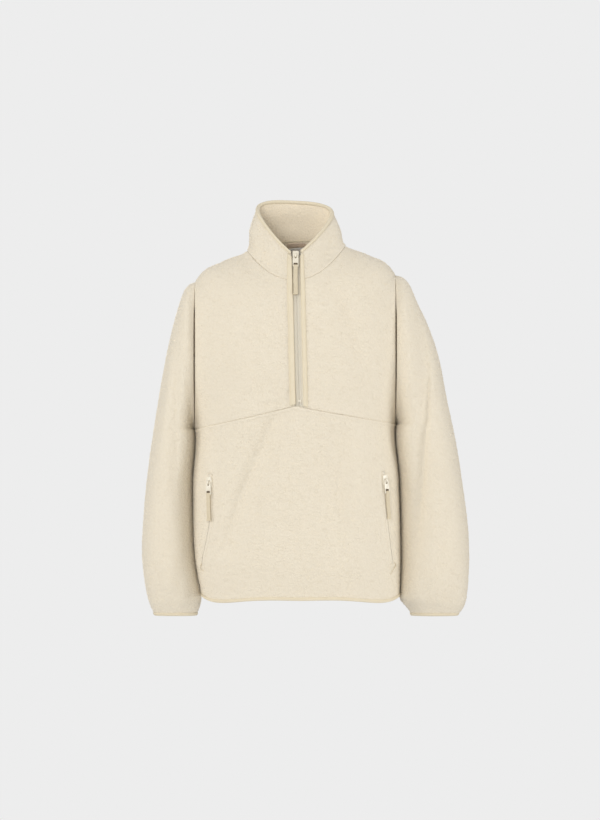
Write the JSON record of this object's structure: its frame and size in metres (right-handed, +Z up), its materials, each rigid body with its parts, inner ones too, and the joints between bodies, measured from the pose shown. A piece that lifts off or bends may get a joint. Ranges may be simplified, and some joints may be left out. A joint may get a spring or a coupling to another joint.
{
  "type": "half-zip fleece pullover jacket",
  "caption": "Cream high-pile fleece pullover with stand collar, half zip, zipped pockets and bound edges, filled out as worn with nobody in it.",
  "frame": {"origin": "on the middle plane at the height of the neck seam's sides, where the wearer's shoulders carry the garment", "axes": "-Y is the front, +Z is up, +X is the picture's right, which is the wearer's left"},
  "size_m": [0.6068, 0.2457, 0.7732],
  "materials": {
    "fleece": "cream high-pile fleece, matt",
    "binding": "smooth stretch binding, yellow cream",
    "zip_tape": "woven zip tape, off-white",
    "zip_metal": "cream lacquer, satin",
    "ribbon": "woven ribbon",
    "label": "white satin ribbon, blank",
    "loop": "twill tape, pinkish beige"
  },
  "bodies": {
    "root": {"front_upper_left": "fleece", "front_upper_right": "fleece", "front_lower": "fleece", "back": "fleece", "sleeve_left_front": "fleece", "sleeve_left_back": "fleece", "sleeve_right_front": "fleece", "sleeve_right_back": "fleece", "collar": "fleece", "collar_binding": "binding", "zip_binding_left": "binding", "zip_binding_right": "binding", "hem_binding": "binding", "cuff_binding_left": "binding", "cuff_binding_right": "binding", "zip_tape_left": "zip_tape", "zip_tape_right": "zip_tape", "zip_stop": "zip_metal", "neck_slider": "zip_metal", "pocket_zip_left": "zip_tape", "pocket_zip_right": "zip_tape", "pocket_left_slider": "zip_metal", "pocket_right_slider": "zip_metal", "neck_label": "label", "hanger_loop": "loop"},
    "neck_pull": {"neck_tab": "zip_metal", "neck_ribbon": "ribbon"},
    "pocket_left_pull": {"pocket_left_tab": "zip_metal", "pocket_left_ribbon": "ribbon"},
    "pocket_right_pull": {"pocket_right_tab": "zip_metal", "pocket_right_ribbon": "ribbon"}
  },
  "joints": [
    {"name": "neck_pull_turn", "type": "hinge", "parent": "root", "child": "neck_pull", "pos_m": [-0.0053, -0.07326, -0.01043], "axis": [-1, 0, 0], "range_deg": [0, 150]},
    {"name": "pocket_left_pull_turn", "type": "hinge", "parent": "root", "child": "pocket_left_pull", "pos_m": [-0.16601, -0.10179, -0.429], "axis": [-0.8118, 0.5836, -0.0209], "range_deg": [0, 150]},
    {"name": "pocket_right_pull_turn", "type": "hinge", "parent": "root", "child": "pocket_right_pull", "pos_m": [0.16174, -0.09818, -0.4255], "axis": [-0.7616, -0.6407, -0.0976], "range_deg": [0, 150]}
  ]
}
